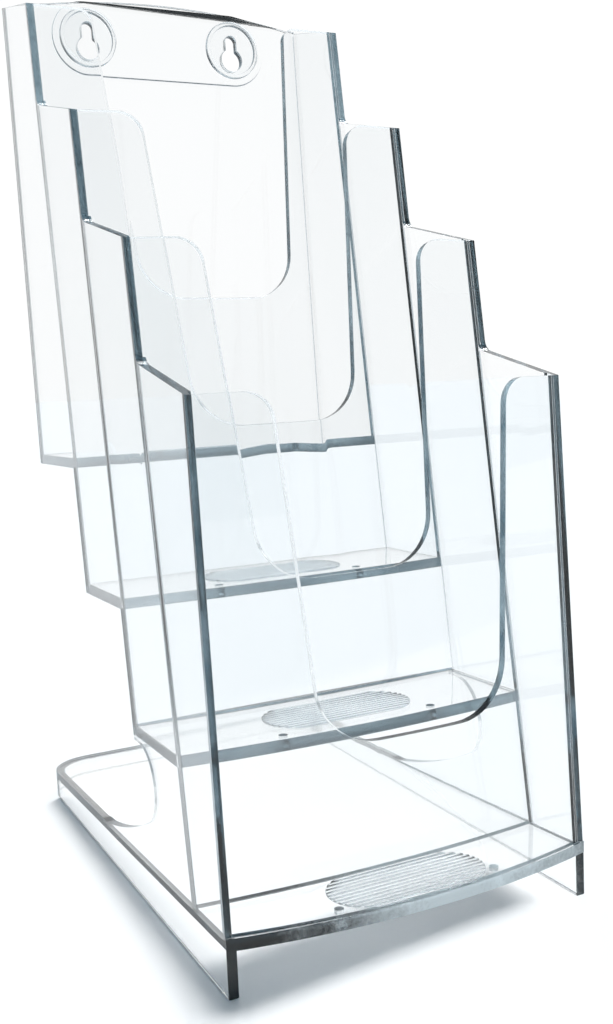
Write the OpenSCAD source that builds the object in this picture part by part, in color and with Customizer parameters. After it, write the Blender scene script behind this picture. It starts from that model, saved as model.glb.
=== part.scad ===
// Four-tier leaflet rack in clear plastic, for 1/3 A4 leaflets.
// Stepped side walls carry a rear panel, three divider panels, a bowed front panel and
// three pocket floors; the whole body stands on a sloping base plate with a skirt.
// +Z up, the front faces -Y, X runs across the width.

/* [Overall] */
// Outer width across the two side walls
width = 110; // [100:1:130]
// Depth from the feet of the front posts to the rear edge of the base
base_depth = 175; // [170:1:200]
// Thickness of the side walls and of the base skirt
wall_t = 2.8; // [2.4:0.1:3.4]
// Thickness of the upright panels
panel_t = 2.5; // [2:0.1:3]
// Thickness of the pocket floors
floor_t = 3; // [2.6:0.1:3.6]
// Thickness of the base plate
plate_t = 3.3; // [3:0.1:4]

/* [Tiers] */
// Backward lean of the three divider panels
lean = 8.3; // [7:0.1:9]
// Backward lean of the rear panel
rear_lean = 3.5; // [2.5:0.1:4.5]
// Backward lean of the front panel at its outer edges
front_lean = 3.3; // [2:0.1:4]
// Height of the highest divider
top_1_z = 269.3; // [266:0.1:272]
// Drop from one divider to the next
tier_drop = 40.6; // [39:0.1:41.5]
// Front face of the highest divider at its top edge, from the front posts
top_1_y = 128.8; // [127:0.1:131]
// Step forward from one divider to the next
tier_step = 41; // [40:0.1:41.5]
// Front face of the front panel at its top edge
top_4_y = 8.1; // [6:0.1:9]
// Rise of the stepped wall tops towards the rear
tread_slope = 13.3; // [11:0.1:15]
// Underside of the highest pocket floor
floor_1_z = 123.1; // [121:0.1:125]
// Underside of the middle pocket floor
floor_2_z = 85; // [83:0.1:87]
// Underside of the lowest pocket floor
floor_3_z = 49.8; // [48:0.1:52]
// Fall of the pocket floors towards the rear
floor_slope = 1.2; // [0.5:0.1:2]
// Forward bow of the middle divider
bow_2 = 2; // [1:0.1:3]
// Forward bow of the lowest divider
bow_3 = 3.5; // [2.5:0.1:4.5]
// Forward bow of the front panel and of the base's front edge
bow_4 = 7; // [5:0.1:8]

/* [Cut-outs] */
// Depth of the U cut-out below the top of each divider
cut_depth = 94; // [80:1:98]
// Depth of the U cut-out below the top of the front panel
front_cut = 89; // [80:1:94]
// Half-width of the cut-out at the top edge
cut_half = 34.3; // [30:0.1:36]
// Taper of each side of the cut-out
cut_taper = 4.7; // [3:0.1:6]
// Radius of the two lower corners of the cut-out
cut_r = 16; // [10:0.5:20]
// Radius of the ears' inner corners on the highest divider
ear_1_r = 4.5; // [3:0.1:6]
// Radius of the ears' inner corners on the other panels
ear_r = 7.5; // [5:0.1:9]

/* [Base] */
// Height of the base plate's top at the front posts
plate_z = 15.9; // [15:0.1:17]
// Fall of the base plate towards the rear
plate_slope = 2.34; // [1.8:0.01:2.6]
// Radius of the base's rear corners
base_r = 15; // [12:0.5:20]
// Radius of the curved opening behind each side wall's foot
foot_r = 11.5; // [9:0.5:13]
// How far the foot of each side wall runs back along the base
foot_end = 110; // [105:1:120]

/* [Rear panel] */
// Rise of the arched top edge
arch_rise = 5.3; // [3:0.1:7]
// Distance from the centre line to each keyhole
keyhole_x = 27; // [25:0.5:30]
// Height of the keyholes' round holes along the panel, above its lower corner
keyhole_v = 141.5; // [138:0.5:142]
// Diameter of each keyhole's round hole
keyhole_d = 8; // [7:0.1:9]
// Width of each keyhole's slot
slot_w = 4.2; // [3.6:0.1:4.6]
// Distance from the round hole to the slot's end centre
slot_rise = 6.6; // [6:0.1:7]
// Outer diameter of the ring around each keyhole
boss_d = 20; // [19:0.5:22]

/* [Floor details] */
// Length of each ribbed pad
pad_len = 46; // [40:1:50]
// Width of each ribbed pad
pad_w = 22; // [18:1:24]
// Distance from the centre line to each small floor hole
hole_x = 23.7; // [22:0.1:26]
// Diameter of the small floor holes
hole_d = 2.5; // [2:0.1:3]

/* [Hidden] */
$fn = 96;
seat = 1;
shallow_seat = 0.8;
glue_gap = 0.2;
panel_len = 230;
arc_steps = 10;
above_top = 6;
cut_margin = 3;
half = width / 2;
inner = half - wall_t;
panel_half = inner + seat;
far = 400;
wall_r = 4;
plate_drop = tan(plate_slope);
floor_drop = tan(floor_slope);
foot_top = 30;
foot_lip = 1.3;
foot_back = 4.2;
foot_angle = 26.6;
tail_r = 172;
tread_k = tan(tread_slope);
tread_turn = 90 - tread_slope;

// Pocket 1 is the rear one; panel 1 is its front.
top_2_y = top_1_y - tier_step;
top_3_y = top_2_y - tier_step;
top_2_z = top_1_z - tier_drop;
top_3_z = top_2_z - tier_drop;
top_4_z = top_3_z - tier_drop;
cos_l = cos(lean);
tan_l = tan(lean);

rear_t = panel_t;
rear_bottom_y = 152;
rear_bottom_z = 123.4;
rear_len = 153.5;
rear_top_y = rear_bottom_y + rear_len * sin(rear_lean);
rear_top_z = rear_bottom_z + rear_len * cos(rear_lean);

boss_rim = 1.3;
boss_floor_t = 1;
boss_rim_h = 2;
emboss_r = 12.5;
emboss_h = 0.6;
pad_seat = 0.5;
pad_plate_t = 0.5;
rib_h = 0.4;
rib_w = 0.9;
rib_count = 11;
rib_pitch = pad_w / (rib_count + 0.5);
hole_back = 5;
hole_reach = 10;

// Front and rear faces of the dividers at a height.
function face_y(ty, tz, z) = ty - (tz - z) * tan_l;
function back_y(ty, tz, z) = face_y(ty, tz, z) + panel_t / cos_l;
function rear_back_y(z) = rear_bottom_y + (z - rear_bottom_z) * tan(rear_lean);
function front_y(z) = top_4_y - (top_4_z - z) * tan(front_lean);
function plate_top(y) = plate_z - y * plate_drop;
function bow_r(b, h) = (h * h + b * b) / (2 * b);

floor_1_front = back_y(top_1_y, top_1_z, floor_1_z);
floor_2_front = back_y(top_2_y, top_2_z, floor_2_z);
floor_3_front = back_y(top_3_y, top_3_z, floor_3_z);
floor_1_rear = rear_back_y(floor_1_z);
floor_2_rear = back_y(top_1_y, top_1_z, floor_2_z);
floor_3_rear = back_y(top_2_y, top_2_z, floor_3_z);
front_foot_y = front_y(plate_z);
centre_y = (base_depth - bow_4) / 2;

// Puts the drawing frame (feet of the front posts at Y = 0) on the part's own origin.
module placed() {
  translate([0, -centre_y, 0]) children();
}

// Turns a panel's own frame (X across, Y up the panel, Z out of its front) into place.
module on_panel(y, z, a) {
  translate([0, y, z]) rotate([90 - a, 0, 0]) children();
}

// Half-space above a plane that falls towards the rear, through height z at y = 0.
module above(z, slope) {
  translate([0, 0, z]) rotate([-slope, 0, 0]) translate([-far, -far, 0]) cube([2 * far, 2 * far, far]);
}

module below(z, slope) {
  translate([0, 0, z]) rotate([-slope, 0, 0]) translate([-far, -far, -far]) cube([2 * far, 2 * far, far]);
}

// ---- upright panels -------------------------------------------------------------

// Points of an arc about c, from angle a0 to angle a1.
function arc(c, r, a0, a1) = [for (i = [0:arc_steps])
  let (a = a0 + (a1 - a0) * i / arc_steps) [c[0] + r * cos(a), c[1] + r * sin(a)]];
function mirrored(p) = [for (i = [len(p) - 1:-1:0]) [-p[i][0], p[i][1]]];

// Right half of the U cut-out, from the bottom edge up to above the ear.
function cut_points(r_ear, depth) = let (
  k = tan(cut_taper),
  low = cut_r - depth,
  x_low = cut_half + low * k - cut_r / cos(cut_taper),
  x_ear = cut_half - r_ear * k + r_ear / cos(cut_taper)
) concat(
  arc([x_low, low], cut_r, -90, -cut_taper),
  arc([x_ear, -r_ear], r_ear, 180 - cut_taper, 90),
  [[x_ear, above_top]]
);

module cut_shape(r_ear, depth) {
  p = cut_points(r_ear, depth);
  polygon(concat(p, mirrored(p)));
}

// Section of a panel across its width, front face at zero on its outer edges.
module section(bow) {
  if (bow > 0) {
    r = bow_r(bow, panel_half);
    translate([0, r - bow]) intersection() {
      difference() {
        circle(r, $fn = 720);
        circle(r - panel_t, $fn = 720);
      }
      translate([-panel_half, -r - 1]) square([2 * panel_half, 2 * bow + panel_t + 4]);
    }
  } else {
    translate([-panel_half, 0]) square([2 * panel_half, panel_t]);
  }
}

// Panel blank with its cut-out, flat or bowed, hanging down from its top edge.
module panel_blank(y, z, a, bow, r_ear, depth) {
  on_panel(y, z, a) difference() {
    translate([0, -panel_len, 0]) rotate([-90, 0, 0]) linear_extrude(panel_len) section(bow);
    translate([0, 0, -panel_t - cut_margin]) linear_extrude(panel_t + bow + 2 * cut_margin) {
      cut_shape(r_ear, depth);
    }
  }
}

module divider_1_blank() {
  difference() {
    panel_blank(top_1_y, top_1_z, lean, 0, ear_1_r, cut_depth);
    below(floor_2_z + floor_t - seat + floor_2_rear * floor_drop, floor_slope);
  }
}

module divider_2_blank() {
  difference() {
    panel_blank(top_2_y, top_2_z, lean, bow_2, ear_r, cut_depth);
    below(floor_3_z + floor_t - seat + floor_3_rear * floor_drop, floor_slope);
  }
}

module divider_3_blank() {
  difference() {
    panel_blank(top_3_y, top_3_z, lean, bow_3, ear_r, cut_depth);
    below(plate_z - shallow_seat, plate_slope);
  }
}

module front_blank() {
  difference() {
    panel_blank(top_4_y, top_4_z, front_lean, bow_4, ear_r, front_cut);
    below(plate_z - shallow_seat, plate_slope);
  }
}

module keyhole_shape() {
  circle(d = keyhole_d);
  translate([0, slot_rise]) circle(d = slot_w);
  translate([-slot_w / 2, 0]) square([slot_w, slot_rise]);
}

module on_rear() {
  on_panel(rear_bottom_y, rear_bottom_z, rear_lean) children();
}

// Rear panel blank; its rear face passes through the floor's rear lower corner.
module rear_blank() {
  arch_r = bow_r(arch_rise, panel_half);
  difference() {
    on_rear() intersection() {
      translate([-panel_half, -2, 0]) cube([2 * panel_half, rear_len + arch_rise + 2, rear_t]);
      translate([0, rear_len + arch_rise - arch_r, -1]) cylinder(r = arch_r, h = rear_t + 2, $fn = 720);
    }
    below(floor_1_z + floor_t - seat + floor_1_rear * floor_drop, floor_slope);
  }
}

module emboss_outline(r) {
  translate([-keyhole_x, 0]) circle(r);
  translate([keyhole_x, 0]) circle(r);
  translate([-keyhole_x, -r]) square([2 * keyhole_x, 2 * r]);
}

// ---- pocket floors --------------------------------------------------------------

// Floor bar from its front limit to the rear face of the panel standing on it.
module floor_bar(zu, y_rear, a, y_front) {
  lo = zu + y_rear * floor_drop;
  intersection() {
    difference() {
      translate([-panel_half, y_front, zu - 10]) cube([2 * panel_half, y_rear - y_front + 20, 30]);
      above(lo + floor_t, floor_slope);
      below(lo, floor_slope);
    }
    translate([0, y_rear, zu]) rotate([-a, 0, 0]) translate([-far / 2, -far, -far / 2]) cube([far, far, far]);
  }
}

// Space behind a divider's rear face, less the shallow seat that its floor enters.
module behind(y, z, bow) {
  r = bow_r(max(bow, 1), panel_half);
  if (bow > 0) {
    on_panel(y, z, lean) translate([0, -far, bow - r]) rotate([-90, 0, 0])
      cylinder(r = r - panel_t + shallow_seat, h = 2 * far, $fn = 720);
  } else {
    on_panel(y, z, lean) translate([-far / 2, -far, -far - panel_t + shallow_seat]) cube([far, 2 * far, far]);
  }
}

module floor_1_bar() {
  intersection() {
    floor_bar(floor_1_z, floor_1_rear, rear_lean, floor_1_front - 12);
    behind(top_1_y, top_1_z, 0);
  }
}

module floor_2_bar() {
  intersection() {
    floor_bar(floor_2_z, floor_2_rear, lean, floor_2_front - 12);
    behind(top_2_y, top_2_z, bow_2);
  }
}

module floor_3_bar() {
  intersection() {
    floor_bar(floor_3_z, floor_3_rear, lean, floor_3_front - 12);
    behind(top_3_y, top_3_z, bow_3);
  }
}

// Rounded-end outline of a ribbed pad.
module pad_outline() {
  translate([-(pad_len - pad_w) / 2, 0]) circle(d = pad_w);
  translate([(pad_len - pad_w) / 2, 0]) circle(d = pad_w);
  square([pad_len - pad_w, pad_w], center = true);
}

module rib_pad() {
  linear_extrude(pad_plate_t) pad_outline();
  translate([0, 0, pad_plate_t]) linear_extrude(rib_h) intersection() {
    pad_outline();
    for (i = [0:rib_count - 1]) {
      translate([-pad_len / 2, (i - (rib_count - 1) / 2) * rib_pitch - rib_w / 2]) square([pad_len, rib_w]);
    }
  }
}

module pad_recess() {
  linear_extrude(pad_seat + 5) pad_outline();
}

// Puts a pad's underside at the bottom of its recess, at distance y from the front.
module on_floor(y, zu, y_rear) {
  top = zu + floor_t + y_rear * floor_drop;
  translate([0, 0, top]) rotate([-floor_slope, 0, 0]) translate([0, y, -pad_seat]) children();
}

module on_plate(y) {
  translate([0, 0, plate_z]) rotate([-plate_slope, 0, 0]) translate([0, y, -pad_seat]) children();
}

module floor_holes(y, z) {
  for (x = [-hole_x, hole_x]) {
    translate([x, y, z - hole_reach]) cylinder(d = hole_d, h = 2 * hole_reach);
  }
}

pad_1_y = (floor_1_front + floor_1_rear - rear_t) / 2;
pad_2_y = (floor_2_front - bow_2 + floor_2_rear - panel_t) / 2;
pad_3_y = (floor_3_front - bow_3 + floor_3_rear - panel_t) / 2;
pad_4_y = (front_foot_y + panel_t - bow_4 + face_y(top_3_y, top_3_z, plate_z) - bow_3) / 2;

// ---- base -----------------------------------------------------------------------

// Plan of the base: bowed front edge, straight sides, rounded rear corners.
module base_plan(inset) {
  r = bow_r(bow_4, half);
  w = half - inset;
  rc = base_r - inset;
  intersection() {
    union() {
      translate([-w, -bow_4 - 1]) square([2 * w, base_depth - base_r + bow_4 + 1]);
      translate([-w + rc, 0]) square([2 * (w - rc), base_depth - inset]);
      for (x = [-w + rc, w - rc]) translate([x, base_depth - base_r]) circle(rc);
    }
    translate([0, r - bow_4]) circle(r, $fn = 720);
  }
}

module skirt_blank() {
  difference() {
    linear_extrude(plate_z + 5) difference() {
      translate([-half, 0]) square([width, base_depth]);
      translate([-inner, -1]) square([2 * inner, base_depth - base_r + 1]);
      translate([-inner + base_r, 0]) square([2 * (inner - base_r), base_depth - wall_t]);
      for (x = [-1, 1]) {
        translate([x * (half - base_r), base_depth - base_r]) circle(base_r - wall_t);
        translate([x * half, base_depth]) corner_waste(x);
      }
    }
    above(plate_z - plate_t + shallow_seat, plate_slope);
  }
}

// Waste outside a rounded rear corner.
module corner_waste(side) {
  difference() {
    translate([side > 0 ? -base_r : -1, -base_r]) square([base_r + 1, base_r + 1]);
    translate([-side * base_r, -base_r]) circle(base_r);
  }
}

module plate_blank() {
  intersection() {
    linear_extrude(plate_z + 5) base_plan(0);
    difference() {
      below(plate_z, plate_slope);
      below(plate_z - plate_t, plate_slope);
    }
  }
}

// ---- side walls -----------------------------------------------------------------

// Height at which a tread, rising back from (y, z), meets the divider whose top is (ty, tz).
function corner_z(ty, tz, y, z) = z + (face_y(ty, tz, z) - y) * tread_k / (1 - tread_k * tan_l);

// Concave fillet in the corner where a divider's face meets the tread below it.
function step_arc(ty, tz, y, z) = let (
  cz = corner_z(ty, tz, y, z),
  d = wall_r / tan((90 + lean + tread_slope) / 2),
  up = [face_y(ty, tz, cz + d * cos_l), cz + d * cos_l]
) arc([up[0] - wall_r * cos_l, up[1] + wall_r * sin(lean)], wall_r, -tread_turn, -lean);

// Stepped profile of a side wall, drawn with Y across and Z up.
module wall_profile() {
  difference() {
    polygon(concat(
      [[front_y(0), 0], [top_4_y, top_4_z]],
      step_arc(top_3_y, top_3_z, top_4_y, top_4_z),
      [[top_3_y, top_3_z]],
      step_arc(top_2_y, top_2_z, top_3_y, top_3_z),
      [[top_2_y, top_2_z]],
      step_arc(top_1_y, top_1_z, top_2_y, top_2_z),
      [
        [top_1_y, top_1_z], [rear_top_y, rear_top_z], [floor_1_rear, floor_1_z],
        [floor_1_front, floor_1_z + (floor_1_rear - floor_1_front) * floor_drop],
        [floor_2_rear, floor_2_z], [floor_2_front, floor_2_z + (floor_2_rear - floor_2_front) * floor_drop],
        [floor_3_rear, floor_3_z], [floor_3_rear, foot_top], [foot_end, foot_top], [foot_end, 0]
      ]
    ));
    foot_cut();
  }
}

// Curved opening behind each side wall's foot, under the lowest pocket.
module foot_cut() {
  top = floor_3_z - foot_lip;
  cy = floor_3_rear - foot_back;
  cz = top - foot_r;
  ty = cy - foot_r * sin(foot_angle);
  tz = cz - foot_r * cos(foot_angle);
  translate([cy, cz]) circle(foot_r);
  intersection() {
    translate([ty + tail_r * sin(foot_angle), tz + tail_r * cos(foot_angle)]) circle(tail_r, $fn = 360);
    polygon([[ty, tz], [cy, cz], [cy, top], [far, top], [far, 0], [ty, 0]]);
  }
}

module wall_blank(x) {
  difference() {
    translate([x, 0, 0]) rotate([90, 0, 90]) linear_extrude(wall_t) wall_profile();
    below(plate_z - shallow_seat, plate_slope);
  }
}

// Groove for a panel's end, seen from the side, running out through the wall's top edge.
module panel_strip(y, z, a, z_low) {
  len = (z - z_low) / cos(a);
  translate([y, z]) rotate(-a) translate([-glue_gap, -len]) {
    square([panel_t + 2 * glue_gap, len + above_top]);
  }
}

// Groove for a floor's end, seen from the side, open below and behind.
module floor_strip(zu, y_front, y_rear) {
  y0 = y_front - panel_t / 2;
  y1 = y_rear + panel_t;
  z0 = zu + (y_rear - y0) * floor_drop;
  z1 = zu + (y_rear - y1) * floor_drop;
  polygon([[y0, z0 - glue_gap], [y1, z1 - glue_gap], [y1, z1 + floor_t], [y0, z0 + floor_t]]);
}

// Stands a side view up as a groove cutter that starts at x and runs inwards.
module groove(x) {
  translate([x, 0, 0]) rotate([90, 0, 90]) linear_extrude(seat + wall_t) children();
}

// Grooves of one wall for its five panels and three floors, from x inwards.
module wall_grooves(x) {
  mid = floor_t / 2;
  groove(x) panel_strip(rear_top_y - rear_t / cos(rear_lean), rear_top_z, rear_lean, floor_1_z + mid);
  groove(x) panel_strip(top_1_y, top_1_z, lean, floor_2_z + mid);
  groove(x) panel_strip(top_2_y, top_2_z, lean, floor_3_z + mid);
  groove(x) panel_strip(top_3_y, top_3_z, lean, 0);
  groove(x) panel_strip(top_4_y, top_4_z, front_lean, 0);
  groove(x) floor_strip(floor_1_z, floor_1_front, floor_1_rear);
  groove(x) floor_strip(floor_2_z, floor_2_front, floor_2_rear);
  groove(x) floor_strip(floor_3_z, floor_3_front, floor_3_rear);
}

// ---- sub-parts ------------------------------------------------------------------

module side_wall_left() {
  color([0.80, 0.88, 0.92]) placed() difference() {
    wall_blank(-half);
    wall_grooves(-panel_half);
  }
}

module side_wall_right() {
  color([0.80, 0.88, 0.92]) placed() difference() {
    wall_blank(inner);
    wall_grooves(panel_half - seat - wall_t);
  }
}

module rear_panel() {
  color([0.86, 0.92, 0.95]) placed() difference() {
    union() {
      rear_blank();
      on_rear() translate([0, keyhole_v + slot_rise / 2, rear_t - 0.5]) linear_extrude(emboss_h + 0.5)
        emboss_outline(emboss_r);
    }
    on_rear() for (x = [-keyhole_x, keyhole_x]) {
      translate([x, keyhole_v, -1]) linear_extrude(rear_t + 4) keyhole_shape();
      translate([x, keyhole_v + slot_rise / 2, rear_t - 0.4]) cylinder(d = boss_d, h = 4);
    }
  }
}

module divider_1() {
  color([0.86, 0.92, 0.95]) placed() difference() {
    divider_1_blank();
    floor_1_bar();
  }
}

module divider_2() {
  color([0.86, 0.92, 0.95]) placed() difference() {
    divider_2_blank();
    floor_2_bar();
  }
}

module divider_3() {
  color([0.86, 0.92, 0.95]) placed() difference() {
    divider_3_blank();
    floor_3_bar();
  }
}

module front_panel() {
  color([0.86, 0.92, 0.95]) placed() front_blank();
}

module floor_1() {
  color([0.74, 0.84, 0.90]) placed() difference() {
    floor_1_bar();
    rear_blank();
    on_floor(pad_1_y, floor_1_z, floor_1_rear) pad_recess();
    floor_holes(floor_1_front + hole_back, floor_1_z);
  }
}

module floor_2() {
  color([0.74, 0.84, 0.90]) placed() difference() {
    floor_2_bar();
    divider_1_blank();
    on_floor(pad_2_y, floor_2_z, floor_2_rear) pad_recess();
    floor_holes(floor_2_front - bow_2 + hole_back, floor_2_z);
  }
}

module floor_3() {
  color([0.74, 0.84, 0.90]) placed() difference() {
    floor_3_bar();
    divider_2_blank();
    on_floor(pad_3_y, floor_3_z, floor_3_rear) pad_recess();
    floor_holes(floor_3_front - bow_3 + hole_back, floor_3_z);
  }
}

module base_plate() {
  color([0.70, 0.80, 0.87]) placed() difference() {
    plate_blank();
    wall_blank(-half);
    wall_blank(inner);
    divider_3_blank();
    front_blank();
    skirt_blank();
    on_plate(pad_4_y) pad_recess();
    floor_holes(front_foot_y + panel_t - bow_4 + hole_back, plate_z - plate_t);
  }
}

module skirt_left() {
  color([0.76, 0.85, 0.90]) placed() intersection() {
    skirt_blank();
    translate([-half - 1, -1, -1]) cube([wall_t + 2, base_depth - base_r + 1, 40]);
  }
}

module skirt_right() {
  color([0.76, 0.85, 0.90]) placed() intersection() {
    skirt_blank();
    translate([inner - 1, -1, -1]) cube([wall_t + 2, base_depth - base_r + 1, 40]);
  }
}

module skirt_rear() {
  color([0.76, 0.85, 0.90]) placed() intersection() {
    skirt_blank();
    translate([-half - 1, base_depth - base_r, -1]) cube([width + 2, base_r + 1, 40]);
  }
}

module keyhole_boss(x) {
  on_rear() translate([x, keyhole_v, rear_t - 0.4]) difference() {
    translate([0, slot_rise / 2, 0]) cylinder(d = boss_d, h = boss_rim_h + 0.4);
    translate([0, slot_rise / 2, boss_floor_t]) cylinder(d = boss_d - 2 * boss_rim, h = boss_rim_h + 1);
    translate([0, 0, -1]) linear_extrude(boss_rim_h + 3) keyhole_shape();
  }
}

module keyhole_boss_left() {
  color([0.66, 0.77, 0.85]) placed() keyhole_boss(-keyhole_x);
}

module keyhole_boss_right() {
  color([0.66, 0.77, 0.85]) placed() keyhole_boss(keyhole_x);
}

module rib_pad_1() {
  color([0.62, 0.74, 0.82]) placed() on_floor(pad_1_y, floor_1_z, floor_1_rear) rib_pad();
}

module rib_pad_2() {
  color([0.62, 0.74, 0.82]) placed() on_floor(pad_2_y, floor_2_z, floor_2_rear) rib_pad();
}

module rib_pad_3() {
  color([0.62, 0.74, 0.82]) placed() on_floor(pad_3_y, floor_3_z, floor_3_rear) rib_pad();
}

module rib_pad_base() {
  color([0.62, 0.74, 0.82]) placed() on_plate(pad_4_y) rib_pad();
}

side_wall_left();
side_wall_right();
rear_panel();
divider_1();
divider_2();
divider_3();
front_panel();
floor_1();
floor_2();
floor_3();
base_plate();
skirt_left();
skirt_right();
skirt_rear();
keyhole_boss_left();
keyhole_boss_right();
rib_pad_1();
rib_pad_2();
rib_pad_3();
rib_pad_base();
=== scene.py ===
"""Clear moulded leaflet rack: four stepped pockets on a low base, in a bright studio.

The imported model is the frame. Each of its nodes is copied, cleaned, given softened edges
and dressed in clear plastic, then stands for the node it came from.
"""

import logging
import math
from dataclasses import dataclass, field
from enum import Enum
from typing import Any

import bmesh
import bpy
from mathutils import Matrix, Vector


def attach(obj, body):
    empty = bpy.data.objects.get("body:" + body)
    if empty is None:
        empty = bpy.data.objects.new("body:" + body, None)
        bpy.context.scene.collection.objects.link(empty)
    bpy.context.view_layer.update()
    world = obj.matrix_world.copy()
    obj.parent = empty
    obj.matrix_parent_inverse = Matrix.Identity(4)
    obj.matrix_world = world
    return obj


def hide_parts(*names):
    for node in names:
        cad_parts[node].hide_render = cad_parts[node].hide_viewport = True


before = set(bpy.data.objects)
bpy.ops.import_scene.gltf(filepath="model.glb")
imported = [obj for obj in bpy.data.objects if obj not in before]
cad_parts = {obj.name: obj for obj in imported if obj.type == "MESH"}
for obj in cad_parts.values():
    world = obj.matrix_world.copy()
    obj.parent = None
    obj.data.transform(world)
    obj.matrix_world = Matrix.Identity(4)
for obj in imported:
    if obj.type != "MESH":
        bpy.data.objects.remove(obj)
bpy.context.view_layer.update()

log = logging.getLogger("leaflet_rack")

MM = 0.001
RIM = "rim"  # face attribute: depth of the painted shade on an edge face, 0 on the broad polished faces
LEAST_DEPTH = 0.12  # the lightest painted shade on an edge face
RIM_GAIN = 10.0  # lifts the depth of any edge face to 1 or more, for a mask
WHITE = (1.0, 1.0, 1.0)
MANY_BOUNCES = 40


class Lie(Enum):
    """How a piece lies, which tells its broad faces from its edges."""

    ACROSS = "faces look to the sides"
    UPRIGHT = "faces look to the front and rear"
    LEVEL = "faces look up and down"


# ---- shader maths ---------------------------------------------------------------


@dataclass(frozen=True)
class Sock:
    """A shader socket that adds a Math node for each sum or product written on it."""

    tree: Any
    out: Any

    def _math(self, operation: str, other: Any, swap: bool = False) -> "Sock":
        """Adds one Math node.

        Args:
            operation: the Math node's operation.
            other: a Sock or a number.
            swap: whether other comes first.

        Returns:
            The node's result.
        """
        node = self.tree.nodes.new("ShaderNodeMath")
        node.operation = operation
        pair = (other, self) if swap else (self, other)
        for slot, value in zip(node.inputs, pair):
            if isinstance(value, Sock):
                self.tree.links.new(value.out, slot)
            else:
                slot.default_value = float(value)
        return Sock(self.tree, node.outputs[0])

    def __add__(self, other: Any) -> "Sock":
        """Sum.

        Args:
            other: a Sock or a number.

        Returns:
            This value plus the other.
        """
        return self._math("ADD", other)

    __radd__ = __add__

    def __sub__(self, other: Any) -> "Sock":
        """Difference.

        Args:
            other: a Sock or a number.

        Returns:
            This value less the other.
        """
        return self._math("SUBTRACT", other)

    def __rsub__(self, other: Any) -> "Sock":
        """Difference from a number.

        Args:
            other: the number.

        Returns:
            The number less this value.
        """
        return self._math("SUBTRACT", other, swap=True)

    def __mul__(self, other: Any) -> "Sock":
        """Product.

        Args:
            other: a Sock or a number.

        Returns:
            This value times the other.
        """
        return self._math("MULTIPLY", other)

    __rmul__ = __mul__

    def power(self, exponent: float) -> "Sock":
        """This value raised to a power.

        Args:
            exponent: the power.

        Returns:
            The power.
        """
        return self._math("POWER", exponent)

    def clamped(self) -> "Sock":
        """This value held between 0 and 1.

        Returns:
            The held value.
        """
        return self._math("MAXIMUM", 0.0)._math("MINIMUM", 1.0)


@dataclass
class Shader:
    """The node tree of a material or of the world, built node by node."""

    owner: Any
    tree: Any = field(init=False)

    def __post_init__(self) -> None:
        """Empties the owner's node tree."""
        self.owner.use_nodes = True
        self.tree = self.owner.node_tree
        self.tree.nodes.clear()

    @classmethod
    def of_material(cls, name: str) -> "Shader":
        """Makes an empty node material of this name.

        Args:
            name: the material's name.

        Returns:
            Its shader.
        """
        return cls(bpy.data.materials.new(name))

    def node(self, kind: str, settings: dict | None = None, out: Any = 0, **values: Any) -> Sock:
        """Adds any node.

        Args:
            kind: the node's type, without its ShaderNode prefix.
            settings: properties set before the sockets are filled; ramp stops go in as "stops".
            out: name or index of the output wanted.
            **values: socket names, with _ for a space, and a Sock or a constant for each.

        Returns:
            The wanted output.
        """
        made = self.tree.nodes.new("ShaderNode" + kind)
        for key, value in (settings or {}).items():
            if key == "stops":
                self._stops(made.color_ramp, value)
            else:
                setattr(made, key, value)
        for key, value in values.items():
            slot = made.inputs[int(key[1:])] if key[1:].isdigit() else made.inputs[key.replace("_", " ")]
            if isinstance(value, Sock):
                self.tree.links.new(value.out, slot)
            else:
                slot.default_value = value
        return Sock(self.tree, made.outputs[out])

    @staticmethod
    def _stops(ramp: Any, stops: list[tuple[float, tuple[float, float, float]]]) -> None:
        """Fills a colour ramp with its stops.

        Args:
            ramp: the node's colour ramp.
            stops: a place and a colour for each stop.

        """
        while len(ramp.elements) < len(stops):
            ramp.elements.new(0.5)
        for element, (place, colour) in zip(ramp.elements, stops):
            element.position = place
            element.color = (*colour, 1.0)

    def noise(self, coords: Sock, scale: float, detail: float = 3.0, roughness: float = 0.5) -> Sock:
        """A noise value about 0.5.

        Args:
            coords: where to read it.
            scale: its scale, per metre.
            detail: octaves.
            roughness: weight of the finer octaves.

        Returns:
            The noise's value.
        """
        return self.node("TexNoise", None, 0, Vector=coords, Scale=scale, Detail=detail, Roughness=roughness)

    def colours(self, amount: Sock, low: tuple[float, ...], high: tuple[float, ...]) -> Sock:
        """A colour between two others.

        Args:
            amount: 0 for low, 1 for high.
            low: first colour.
            high: second colour.

        Returns:
            The mixed colour.
        """
        return self.node("Mix", {"data_type": "RGBA"}, 2, _0=amount, _6=(*low, 1.0), _7=(*high, 1.0))

    def blend(self, amount: Sock, low: Sock, high: Sock) -> Sock:
        """A colour between two linked colours, by amount.

        Args:
            amount: 0 for low, 1 for high.
            low: first colour.
            high: second colour.

        Returns:
            The mixed colour.
        """
        return self.node("Mix", {"data_type": "RGBA"}, 2, _0=amount, _6=low, _7=high)

    def finish(self, surface: Sock, volume: Sock | None = None, kind: str = "OutputMaterial") -> Any:
        """Wires the output node.

        Args:
            surface: the surface shader.
            volume: the volume shader, if any.
            kind: the output node's type, without its ShaderNode prefix.

        Returns:
            The finished material or world.
        """
        end = self.tree.nodes.new("ShaderNode" + kind)
        self.tree.links.new(surface.out, end.inputs["Surface"])
        if volume is not None:
            self.tree.links.new(volume.out, end.inputs["Volume"])
        return self.owner


# ---- finishes -------------------------------------------------------------------


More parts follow.
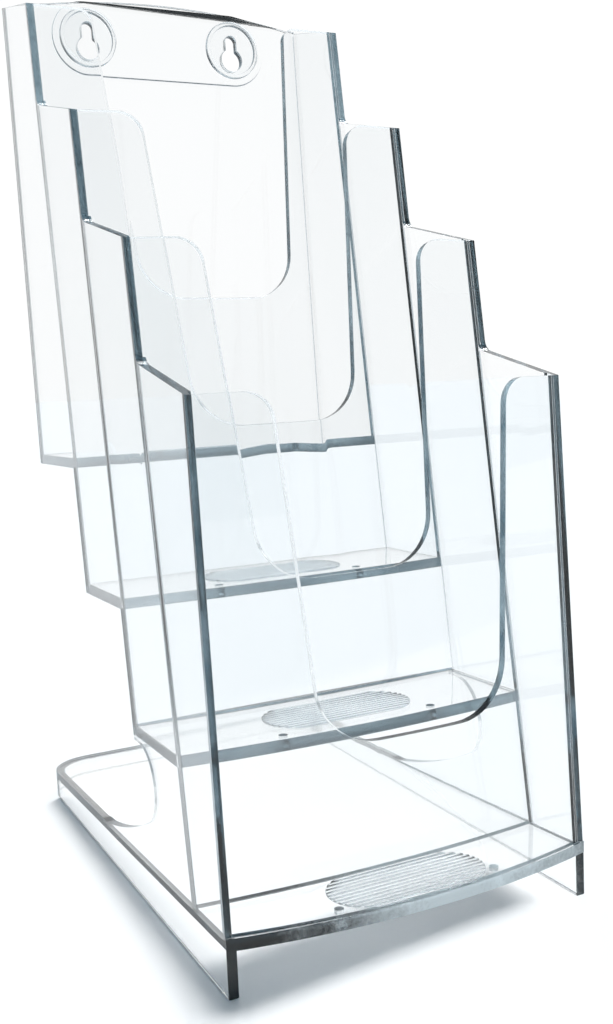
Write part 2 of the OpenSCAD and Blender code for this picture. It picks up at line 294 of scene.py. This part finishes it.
@dataclass(frozen=True)
class ClearPlastic:
    """Polished crystal-clear plastic with slightly grainy, blue-grey edges.

    The edges vary between rim_dark and rim_light, with random streaks and grain. On that they carry
    painted shade: lighter by lift, darker towards the foot of the rack by foot_shade, darker towards
    either side by left_shade and right_shade, and darker by the depth marked on each edge face. Where
    frost is above 0 the lighter edges are also partly covered by a matt veil.
    """

    name: str
    face_tint: tuple[float, float, float] = (0.975, 0.985, 0.986)
    rim_dark: tuple[float, float, float] = (0.02, 0.052, 0.075)
    rim_light: tuple[float, float, float] = (0.56, 0.72, 0.79)
    veil: tuple[float, float, float] = (0.80, 0.88, 0.91)
    absorb: tuple[float, float, float] = (0.50, 0.60, 0.65)
    density: float = 14.0
    ior: float = 1.49
    grain: float = 900.0
    streak: float = 60.0
    haze: float = 22.0
    ripple: float = 38.0
    streak_weight: float = 1.3
    grain_weight: float = 0.7
    # painted shade: foot_slope, foot_curve and foot_shade darken the edges towards the foot of the rack
    foot_slope: float = 4.6
    foot_curve: float = 1.6
    foot_shade: float = 0.25
    # painted shade: left_shade and right_shade darken the edges towards the left and the right
    left_shade: float = 0.0
    right_shade: float = 0.0
    left_slope: float = 18.0
    left_start: float = 0.05
    right_slope: float = 20.0
    right_start: float = 0.5
    polish: float = 0.012
    face_grain: float = 0.02
    edge_rough: float = 0.05
    edge_grain: float = 0.22
    bump: float = 0.25
    bump_height: float = 0.12 * MM
    ripple_weight: float = 0.6
    rough_edge: float = 0.3
    lift: float = 0.05
    frost: float = 0.0

    def build(self) -> Any:
        """Builds the material.

        Returns:
            The material.
        """
        sh = Shader.of_material(self.name)
        coords = sh.node("TexCoord", None, "Object")
        depth = sh.node("Attribute", {"attribute_name": RIM}, "Fac")
        rim = (depth * RIM_GAIN).clamped()
        grain = sh.noise(coords, self.grain, 4.0, 0.65)
        shade = self._shade(sh, coords, depth, grain)
        surface = self._clear(sh, coords, rim, grain, shade)
        if self.frost > 0:
            matt = sh.node("BsdfDiffuse", None, 0, Color=(*self.veil, 1.0))
            surface = sh.node("MixShader", None, 0, Fac=rim * shade * self.frost, _1=surface, _2=matt)
        volume = sh.node("VolumeAbsorption", None, 0, Color=(*self.absorb, 1.0), Density=self.density)
        return sh.finish(surface, volume)

    def _shade(self, sh: Shader, coords: Sock, depth: Sock, grain: Sock) -> Sock:
        """How light an edge is at each place: random streaks and grain, raised by lift, less the painted
        shade from each face's depth, towards the foot and towards either side.

        Args:
            sh: the material's shader.
            coords: object coordinates.
            depth: the face attribute RIM, the depth of each edge face's painted shade.
            grain: the fine noise.

        Returns:
            0 for the darkest edge, 1 for the lightest.
        """
        height = sh.node("SeparateXYZ", None, "Z", Vector=coords)
        across = sh.node("SeparateXYZ", None, "X", Vector=coords)
        streak = sh.noise(coords, self.streak, 3.0, 0.6)
        # painted shade: darker towards the foot of the rack, and towards the left and the right
        low = (1.0 - height * self.foot_slope).clamped().power(self.foot_curve)
        left = (across * -self.left_slope - self.left_start).clamped() * self.left_shade
        right = (across * self.right_slope - self.right_start).clamped() * self.right_shade
        light = streak * self.streak_weight + grain * self.grain_weight + self.lift
        return (light - depth - low * self.foot_shade - left - right).clamped()

    def _clear(self, sh: Shader, coords: Sock, rim: Sock, grain: Sock, shade: Sock) -> Sock:
        """The clear plastic itself, tinted on its edges.

        Args:
            sh: the material's shader.
            coords: object coordinates.
            rim: 1 on edge faces, 0 on broad ones.
            grain: the fine noise.
            shade: how light an edge is.

        Returns:
            The surface shader.
        """
        edge = sh.colours(shade, self.rim_dark, self.rim_light)
        haze = sh.colours(sh.noise(coords, self.haze), self.face_tint, WHITE)
        relief = sh.noise(coords, self.ripple, 2.0) * self.ripple_weight + grain * rim * self.rough_edge
        rough = self.polish + grain * self.face_grain + rim * (self.edge_rough + grain * self.edge_grain)
        return sh.node(
            "BsdfPrincipled",
            None,
            0,
            Base_Color=sh.blend(rim, haze, edge),
            Roughness=rough,
            IOR=self.ior,
            Transmission_Weight=1.0,
            Normal=sh.node("Bump", None, 0, Strength=self.bump, Distance=self.bump_height, Height=relief),
        )


@dataclass(frozen=True)
class StudioPaper:
    """Matt studio paper with a very faint mottle; white unless told otherwise."""

    name: str = "studio_paper"
    white: tuple[float, float, float] = (0.88, 0.875, 0.87)
    mottle: tuple[float, float, float] = (0.87, 0.865, 0.86)

    def build(self) -> Any:
        """Builds the material.

        Returns:
            The material.
        """
        sh = Shader.of_material(self.name)
        coords = sh.node("TexCoord", None, "Object")
        colour = sh.colours(sh.noise(coords, 30.0, 4.0), self.white, self.mottle)
        surface = sh.node("BsdfPrincipled", None, 0, Base_Color=colour, Roughness=0.9, Specular_IOR_Level=0.0)
        return sh.finish(surface)


# ---- pieces ---------------------------------------------------------------------


@dataclass
class ClearPiece:
    """One moulded piece, made from its CAD node.

    broad is how squarely a face must look along the piece's lie to count as polished; depth and
    turn set the painted shade on the edge faces: how dark it is, and how it changes with the way
    each face looks.
    """

    node: str
    lie: Lie
    finish: Any
    soften: float = 0.28 * MM
    gap: float = 0.012 * MM
    longest_step: float = 6.0
    weld: float = 0.002 * MM
    flat: float = math.radians(0.15)
    broad: float = 0.80
    depth: float = 0.6
    # turn: painted shade, darker or lighter by the way an edge face looks
    turn: tuple[float, float, float] = (0.0, 0.0, 0.0)
    sharp: float = math.radians(19.0)
    corner: float = math.radians(32.0)

    def build(self) -> Any:
        """Copies the node's mesh, joins it up, softens its edges and leaves a hair's gap.

        Returns:
            The new object, at the origin.
        """
        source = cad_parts[self.node]
        bm = bmesh.new()
        bm.from_mesh(source.data)
        bmesh.ops.remove_doubles(bm, verts=bm.verts, dist=self.weld)
        bmesh.ops.dissolve_limit(
            bm,
            angle_limit=self.flat,
            use_dissolve_boundaries=False,
            verts=bm.verts,
            edges=bm.edges,
            delimit=set(),
        )
        bmesh.ops.recalc_face_normals(bm, faces=bm.faces)
        if self.soften > 0:
            edges = [e for e in bm.edges if e.is_manifold and e.calc_face_angle(0.0) > self.corner]
            bmesh.ops.bevel(
                bm,
                geom=edges,
                offset=self.soften,
                offset_type="OFFSET",
                segments=2,
                profile=0.5,
                affect="EDGES",
                clamp_overlap=True,
                loop_slide=False,
                material=-1,
            )
        bm.normal_update()
        shift = {v: v.normal * v.calc_shell_factor() * self.gap for v in bm.verts}
        for vert, step in shift.items():
            if step.length < self.longest_step * self.gap:
                vert.co -= step
        bm.normal_update()
        for face in bm.faces:
            face.smooth = True
        for edge in bm.edges:
            edge.smooth = edge.is_manifold and edge.calc_face_angle(0.0) < self.sharp
        mesh = bpy.data.meshes.new(self.node + "_clear")
        bm.to_mesh(mesh)
        bm.free()
        piece = bpy.data.objects.new(self.node + "_clear", mesh)
        bpy.context.scene.collection.objects.link(piece)
        return piece

    def dress(self, piece: Any) -> None:
        """Gives the piece its finish and marks its edge faces with the depth of their painted shade.

        Args:
            piece: the object from build.
        """
        mesh = piece.data
        mesh.materials.clear()
        mesh.materials.append(self.finish)
        marks = mesh.attributes.new(RIM, "FLOAT", "FACE")
        for face, mark in zip(mesh.polygons, marks.data):
            mark.value = 0.0 if self._is_broad(face.normal) else self._depth(face.normal)

    def _depth(self, normal: Vector) -> float:
        """How dark the painted shade on an edge face is, from the way the face looks.

        Args:
            normal: the face's normal.

        Returns:
            Its depth, from LEAST_DEPTH to 1.
        """
        return min(1.0, max(LEAST_DEPTH, self.depth + normal.dot(Vector(self.turn))))

    def _is_broad(self, normal: Vector) -> bool:
        """Whether a face with this normal is one of the piece's broad, polished faces.

        Args:
            normal: the face's normal.

        Returns:
            True on a broad face.
        """
        if self.lie is Lie.ACROSS:
            return abs(normal.x) > self.broad
        if self.lie is Lie.UPRIGHT:
            return abs(normal.y) > self.broad
        return abs(normal.z) > self.broad

    def make(self) -> Any:
        """Builds, dresses and registers the piece.

        Returns:
            The finished object.
        """
        piece = self.build()
        self.dress(piece)
        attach(piece, "root")
        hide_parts(self.node)
        log.info("%s: %d faces", piece.name, len(piece.data.polygons))
        return piece


@dataclass
class Rack:
    """The whole rack, as its groups of pieces."""

    walls: tuple[str, ...] = ("side_wall_left", "side_wall_right")
    panels: tuple[str, ...] = ("rear_panel", "divider_1", "divider_2", "divider_3", "front_panel")
    floors: tuple[str, ...] = ("floor_1", "floor_2", "floor_3")
    sides: tuple[str, ...] = ("skirt_left", "skirt_right")
    bosses: tuple[str, ...] = ("keyhole_boss_left", "keyhole_boss_right")
    pads: tuple[str, ...] = ("rib_pad_1", "rib_pad_2", "rib_pad_3", "rib_pad_base")

    def make(self) -> list[Any]:
        """Makes every piece in order.

        Returns:
            The finished objects.
        """
        pale = (0.94, 0.97, 0.985)
        wall = ClearPlastic("clear_wall").build()
        panel = ClearPlastic("clear_panel").build()
        shelf = ClearPlastic("clear_floor", streak=35.0).build()
        # painted shade on the base's edges: darker towards the left and the right sides, raised lighter by
        # lift, under a matt veil
        base = ClearPlastic(
            "clear_base",
            rim_light=pale,
            density=5.0,
            streak=25.0,
            left_shade=1.3,
            right_shade=0.9,
            lift=0.3,
            frost=0.75,
        ).build()
        trim = ClearPlastic(
            "clear_trim",
            rim_dark=(0.62, 0.72, 0.77),
            rim_light=pale,
            density=6.0,
            rough_edge=0.02,
        ).build()
        # turn sets painted shade on the edge faces, darker or lighter by the way they look
        pieces = [ClearPiece(n, Lie.ACROSS, wall, turn=(0.0, -0.1, 0.2)) for n in self.walls]
        pieces += [
            ClearPiece(n, Lie.UPRIGHT, panel, broad=0.7, depth=0.5, turn=(-0.4, 0.0, -0.45))
            for n in self.panels
        ]
        pieces += [ClearPiece(n, Lie.LEVEL, shelf, depth=0.55) for n in self.floors]
        pieces.append(ClearPiece("base_plate", Lie.LEVEL, base, depth=LEAST_DEPTH))
        pieces += [ClearPiece(n, Lie.ACROSS, base) for n in self.sides]
        pieces.append(ClearPiece("skirt_rear", Lie.UPRIGHT, base, broad=0.5, depth=0.4))
        pieces += [ClearPiece(n, Lie.UPRIGHT, trim, soften=0.15 * MM, depth=0.4) for n in self.bosses]
        pieces += [ClearPiece(n, Lie.LEVEL, trim, soften=0.1 * MM, depth=0.4) for n in self.pads]
        return [piece.make() for piece in pieces]


# ---- studio ---------------------------------------------------------------------


@dataclass
class Studio:
    """White paper, a bright surround and one soft lamp, shaded by the blockers alone."""

    reach: float = 6.0
    sky: float = 1.03
    lamp: float = 3.5
    overhead: tuple[float, float, float] = (0.11, 0.18, 0.24)
    behind: tuple[float, float, float] = (0.58, 0.65, 0.69)
    lamp_spread: float = math.radians(42.0)
    lamp_way: tuple[float, float, float] = (-0.62, -0.45, -1.0)
    blockers: tuple[str, ...] = ("skirt_left", "shade_card")
    below: float = 0.2 * MM
    card_x: tuple[float, float] = (-52 * MM, 46 * MM)
    card_front: tuple[float, float] = (-87.5 * MM, -75.5 * MM)
    card_rear: tuple[float, float] = (-60 * MM, -52 * MM)
    card_z: float = 11 * MM

    def build(self) -> Any:
        """Makes the floor, the surround and the lamp.

        Returns:
            The lamp.
        """
        bm = bmesh.new()
        bmesh.ops.create_grid(bm, x_segments=1, y_segments=1, size=self.reach)
        bmesh.ops.translate(bm, verts=bm.verts, vec=(0.0, 0.0, -self.below))
        mesh = bpy.data.meshes.new("studio_floor")
        bm.to_mesh(mesh)
        bm.free()
        floor = bpy.data.objects.new("studio_floor", mesh)
        mesh.materials.append(StudioPaper().build())
        bpy.context.scene.collection.objects.link(floor)
        self._shade_card()
        self._surround()
        sun = bpy.data.lights.new("soft_key", "SUN")
        sun.energy = self.lamp
        sun.angle = self.lamp_spread
        sun.cycles.use_multiple_importance_sampling = False
        key = bpy.data.objects.new("soft_key", sun)
        key.rotation_euler = Vector(self.lamp_way).to_track_quat("-Z", "Y").to_euler()
        bpy.context.scene.collection.objects.link(key)
        return key

    def shade(self, key: Any, pieces: list[Any]) -> None:
        """Lets the lamp through everything but the blockers.

        Args:
            key: the lamp.
            pieces: the rack's pieces.
        """
        group = bpy.data.collections.new("shade_casters")
        for piece in [*pieces, bpy.data.objects["shade_card"]]:
            if piece.name.removesuffix("_clear") in self.blockers:
                group.objects.link(piece)
        key.light_linking.blocker_collection = group

    def _shade_card(self) -> None:
        """A narrow unseen card under the front of the base, which deepens the contact shadow."""
        bm = bmesh.new()
        front = [bm.verts.new((x, y, self.card_z)) for x, y in zip(self.card_x, self.card_front)]
        rear = [bm.verts.new((x, y, self.card_z)) for x, y in zip(self.card_x, self.card_rear)]
        bm.faces.new((*front, *reversed(rear)))
        mesh = bpy.data.meshes.new("shade_card")
        bm.to_mesh(mesh)
        bm.free()
        card = bpy.data.objects.new("shade_card", mesh)
        black = StudioPaper("card_black", (0.02, 0.03, 0.04), (0.01, 0.015, 0.02))
        mesh.materials.append(black.build())
        bpy.context.scene.collection.objects.link(card)
        card.visible_camera = False
        card.visible_diffuse = False
        card.visible_glossy = False
        card.visible_transmission = False

    def _surround(self) -> None:
        """A pale surround, cooler and dimmer overhead and behind the camera."""
        world = bpy.data.worlds.new("bright_surround")
        bpy.context.scene.world = world
        sh = Shader(world)
        coords = sh.node("TexCoord", None, "Generated")
        height = sh.node("SeparateXYZ", None, "Z", Vector=coords)
        ahead = sh.node("SeparateXYZ", None, "Y", Vector=coords)
        stops = [(0.0, WHITE), (0.34, WHITE), (0.7, self.overhead)]
        dome = sh.node("ValToRGB", {"stops": stops}, 0, Fac=height)
        front = (0.5 - ahead * 1.2).clamped()
        multiply = {"data_type": "RGBA", "blend_type": "MULTIPLY"}
        light = sh.node("Mix", multiply, 2, _0=front, _6=dome, _7=(*self.behind, 1.0))
        surface = sh.node("Background", None, 0, Color=light, Strength=self.sky)
        sh.finish(surface, None, "OutputWorld")


@dataclass
class View:
    """The camera: where it stands, and its heading, tilt and roll in degrees."""

    place: tuple[float, float, float] = (-152.24 * MM, -334.91 * MM, 153.69 * MM)
    heading: float = -26.3504
    tilt: float = -7.1665
    roll: float = -2.4392
    sensor: float = 36.0
    lens: float = 41.0713
    shift: tuple[float, float] = (-0.00112, -0.00206)
    nearest: float = 10 * MM

    def build(self) -> None:
        """Makes the scene's camera."""
        data = bpy.data.cameras.new("studio_camera")
        data.sensor_width = self.sensor
        data.lens = self.lens
        data.shift_x, data.shift_y = self.shift
        data.clip_start = self.nearest
        camera = bpy.data.objects.new("studio_camera", data)
        turn = Matrix.Rotation(math.radians(self.heading), 4, "Z")
        turn @= Matrix.Rotation(math.radians(90.0 + self.tilt), 4, "X")
        turn @= Matrix.Rotation(math.radians(self.roll), 4, "Z")
        camera.matrix_world = Matrix.Translation(self.place) @ turn
        bpy.context.scene.collection.objects.link(camera)
        bpy.context.scene.camera = camera


def set_light_paths() -> None:
    """Lets light pass through many clear walls, and keeps white paper white."""
    scene = bpy.context.scene
    scene.cycles.max_bounces = MANY_BOUNCES
    scene.cycles.transmission_bounces = MANY_BOUNCES
    scene.cycles.transparent_max_bounces = MANY_BOUNCES
    scene.cycles.diffuse_bounces = 3
    scene.cycles.glossy_bounces = 8
    scene.cycles.blur_glossy = 0.2
    scene.view_settings.view_transform = "Standard"
    scene.view_settings.look = "None"


def main() -> None:
    """Builds the camera, the studio and the rack."""
    logging.basicConfig(level=logging.INFO, format="%(message)s")
    View().build()
    studio = Studio()
    key = studio.build()
    set_light_paths()
    pieces = Rack().make()
    studio.shade(key, pieces)
    log.info("%d pieces", len(pieces))


if __name__ == "__main__":
    main()
